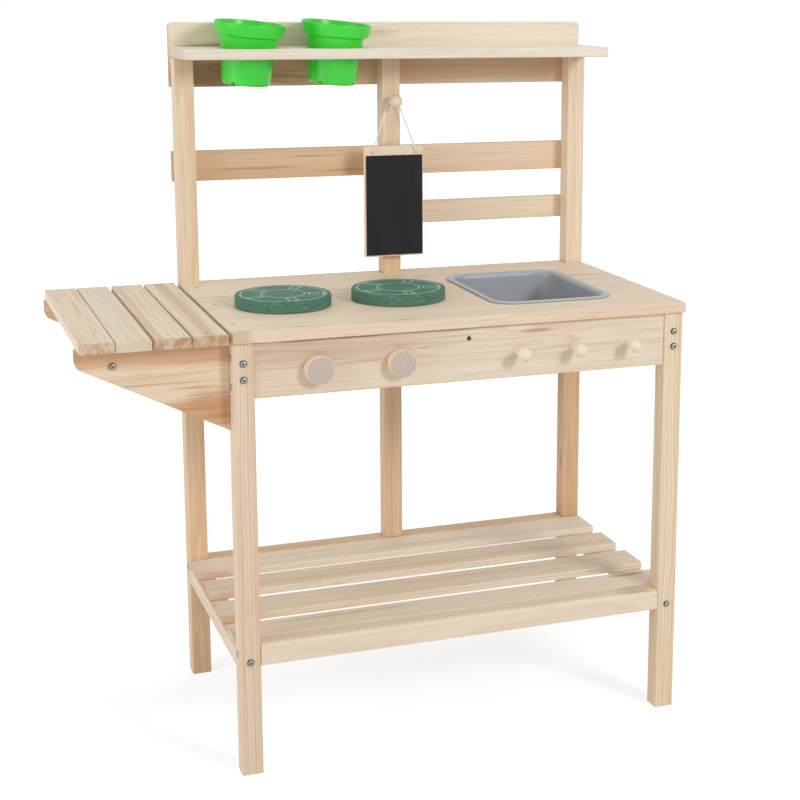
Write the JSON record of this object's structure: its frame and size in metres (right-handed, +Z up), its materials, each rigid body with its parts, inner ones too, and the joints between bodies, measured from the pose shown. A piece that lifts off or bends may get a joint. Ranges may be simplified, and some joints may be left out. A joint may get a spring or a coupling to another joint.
{
  "type": "play kitchen",
  "caption": "Wooden play kitchen with a slatted side wing, hob discs, turning knobs, lift-out basin and flower pots, pegs, a hanging chalkboard and a lower shelf.",
  "frame": {"origin": "middle of the footprint on the floor: the centre of the bounding box's bottom", "axes": "+X to the right along the front, +Y from the front with the knobs towards the back, +Z up"},
  "size_m": [0.8356, 0.4302, 0.991],
  "materials": {
    "leg_pine": "planed, unvarnished pine battens and boards",
    "worktop_pine": "planed pine boards",
    "slat_pine": "planed pine slats",
    "rail_pine": "planed pine rails, a little darker",
    "bracket_pine": "planed pine, warmer in tone",
    "chalkboard_wood": "smooth light wood",
    "peg_wood": "turned light hardwood",
    "knob_wood": "turned wood, greyish pink face",
    "burner_paint": "wooden discs painted dull green, with pale rings",
    "pot_plastic": "bright green moulded plastic",
    "basin_plastic": "grey moulded plastic with a soft sheen",
    "chalkboard_black": "matt black writing surface",
    "string_cotton": "white cotton string",
    "zinc": "bright zinc-plated bolts"
  },
  "bodies": {
    "frame": {"front_left_leg": "leg_pine", "front_right_leg": "leg_pine", "rear_left_post": "leg_pine", "rear_right_post": "leg_pine", "centre_post": "leg_pine", "front_apron": "leg_pine", "side_apron_left": "leg_pine", "side_apron_right": "leg_pine", "rear_apron": "leg_pine", "worktop": "worktop_pine", "top_shelf": "worktop_pine", "top_back_board": "worktop_pine", "lower_slat_1": "slat_pine", "lower_slat_2": "slat_pine", "lower_slat_3": "slat_pine", "lower_slat_4": "slat_pine", "lower_front_rail": "slat_pine", "wing_slat_1": "slat_pine", "wing_slat_2": "slat_pine", "wing_slat_3": "slat_pine", "wing_slat_4": "slat_pine", "lower_end_rail_left": "rail_pine", "lower_end_rail_right": "rail_pine", "lower_back_rail": "rail_pine", "middle_rail": "rail_pine", "half_rail": "rail_pine", "wing_bracket_front": "bracket_pine", "wing_bracket_rear": "bracket_pine", "wing_cross_rail": "bracket_pine", "peg_1": "peg_wood", "peg_2": "peg_wood", "peg_3": "peg_wood", "chalkboard_peg": "peg_wood", "burner_left": "burner_paint", "burner_right": "burner_paint", "bolt_wing_front": "zinc", "bolt_left_front_upper": "zinc", "bolt_left_front_lower": "zinc", "bolt_left_front_foot": "zinc", "bolt_left_end_upper": "zinc", "bolt_left_end_lower": "zinc", "bolt_left_end_foot": "zinc", "bolt_left_rear_foot": "zinc", "bolt_right_front_upper": "zinc", "bolt_right_front_lower": "zinc", "bolt_right_front_foot": "zinc", "bolt_right_end_upper": "zinc", "bolt_right_end_lower": "zinc", "bolt_right_end_foot": "zinc", "bolt_right_rear_foot": "zinc"},
    "left_knob": {"knob_left": "knob_wood", "knob_screw_left": "zinc"},
    "right_knob": {"knob_right": "knob_wood", "knob_screw_right": "zinc"},
    "left_pot": {"flower_pot_left": "pot_plastic"},
    "right_pot": {"flower_pot_right": "pot_plastic"},
    "basin": {"sink_basin": "basin_plastic"},
    "chalkboard": {"chalkboard_back": "chalkboard_wood", "chalkboard_panel": "chalkboard_black", "chalkboard_string": "string_cotton"}
  },
  "joints": [
    {"name": "left_knob_turn", "type": "hinge", "parent": "frame", "child": "left_knob", "pos_m": [-0.11235, -0.18815, 0.551], "axis": [0, 1, 0], "continuous": true},
    {"name": "right_knob_turn", "type": "hinge", "parent": "frame", "child": "right_knob", "pos_m": [-0.00035, -0.18815, 0.551], "axis": [0, 1, 0], "continuous": true},
    {"name": "left_pot_lift", "type": "slide", "parent": "frame", "child": "left_pot", "axis": [0.0785, -0.0695, 0.9945], "range_m": [0, 0.12]},
    {"name": "right_pot_lift", "type": "slide", "parent": "frame", "child": "right_pot", "axis": [0.0785, -0.0695, 0.9945], "range_m": [0, 0.12]},
    {"name": "basin_lift", "type": "slide", "parent": "frame", "child": "basin", "axis": [0, 0, 1], "range_m": [0, 0.15]},
    {"name": "chalkboard_swing", "type": "hinge", "parent": "frame", "child": "chalkboard", "pos_m": [0.09865, 0.16385, 0.87], "axis": [0, 1, 0], "range_deg": [-45, 45]}
  ]
}
